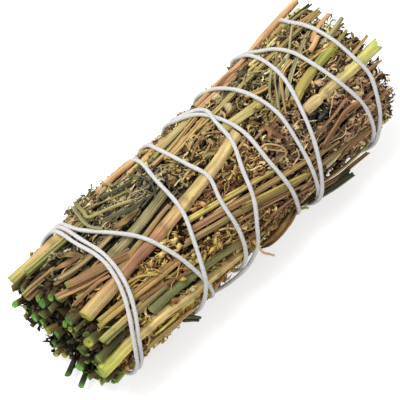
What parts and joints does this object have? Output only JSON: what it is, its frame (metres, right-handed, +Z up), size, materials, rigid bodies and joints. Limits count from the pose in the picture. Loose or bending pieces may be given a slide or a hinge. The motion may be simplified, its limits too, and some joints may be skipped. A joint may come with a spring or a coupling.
{
  "type": "rue smudge stick",
  "caption": "Dried rue stems and crumpled leaf packed side by side in a round bundle and bound with white cotton string that winds out to the tips and back.",
  "frame": {"origin": "middle of the bundle's footprint, at the level of the surface that it lies on", "axes": "+X along the bundle from the cut stem ends to the leafy tips, +Z up, +Y across the bundle towards its back, where the knot is"},
  "size_m": [0.1096, 0.0438, 0.0398],
  "materials": {
    "stem_tan": "dry tan plant stem, striated, matt to slightly waxy",
    "stem_yellow": "dry yellow plant stem, striated, matt to slightly waxy",
    "stem_olive": "dry olive plant stem, striated, matt to slightly waxy",
    "stem_green": "dry green plant stem, striated, matt to slightly waxy",
    "stem_pink": "dry pink plant stem, striated, matt to slightly waxy",
    "stem_brown": "dry brown plant stem, striated, matt to slightly waxy",
    "leaf": "crumpled dried leaf, matt",
    "string": "twisted white cotton, fuzzy"
  },
  "bodies": {
    "root": {"binding_string": "string", "blade_1": "stem_olive", "blade_2": "stem_olive", "leaf_back_1": "leaf", "leaf_back_2": "leaf", "leaf_back_3": "leaf", "leaf_front_1": "leaf", "leaf_front_2": "leaf", "leaf_front_3": "leaf", "leaf_inner_tips": "leaf", "leaf_top_1": "leaf", "leaf_top_2": "leaf", "leaf_top_3": "leaf", "leaf_under_1": "leaf", "leaf_under_2": "leaf", "leaf_under_3": "leaf", "leaf_under_4": "leaf", "stem_back_1": "stem_olive", "stem_back_2": "stem_tan", "stem_back_3": "stem_green", "stem_back_4": "stem_tan", "stem_back_5": "stem_olive", "stem_back_6": "stem_pink", "stem_back_7": "stem_yellow", "stem_edge_orange": "stem_tan", "stem_edge_tan": "stem_tan", "stem_front_long": "stem_tan", "stem_front_olive": "stem_olive", "stem_front_thick": "stem_tan", "stem_front_yellow": "stem_yellow", "stem_inner_1": "stem_green", "stem_inner_10": "stem_yellow", "stem_inner_11": "stem_green", "stem_inner_2": "stem_olive", "stem_inner_3": "stem_yellow", "stem_inner_4": "stem_green", "stem_inner_5": "stem_tan", "stem_inner_6": "stem_olive", "stem_inner_7": "stem_green", "stem_inner_8": "stem_green", "stem_inner_9": "stem_olive", "stem_left_ridged": "stem_yellow", "stem_left_thick": "stem_tan", "stem_low_tan": "stem_tan", "stem_slant_brown": "stem_brown", "stem_slant_olive": "stem_olive", "stem_slant_pink": "stem_pink", "stem_slant_yellow": "stem_yellow", "stem_striated_green": "stem_green", "stem_striated_grey": "stem_olive", "stem_tip_forked": "stem_green", "stem_tip_green": "stem_green", "stem_top_flat": "stem_green", "stem_top_thin_1": "stem_tan", "stem_top_thin_2": "stem_pink", "stem_top_thin_3": "stem_tan", "stem_top_thin_4": "stem_olive", "stem_top_yellow": "stem_yellow", "twig_loose_long": "stem_olive", "twig_loose_short": "stem_green"}
  },
  "joints": []
}
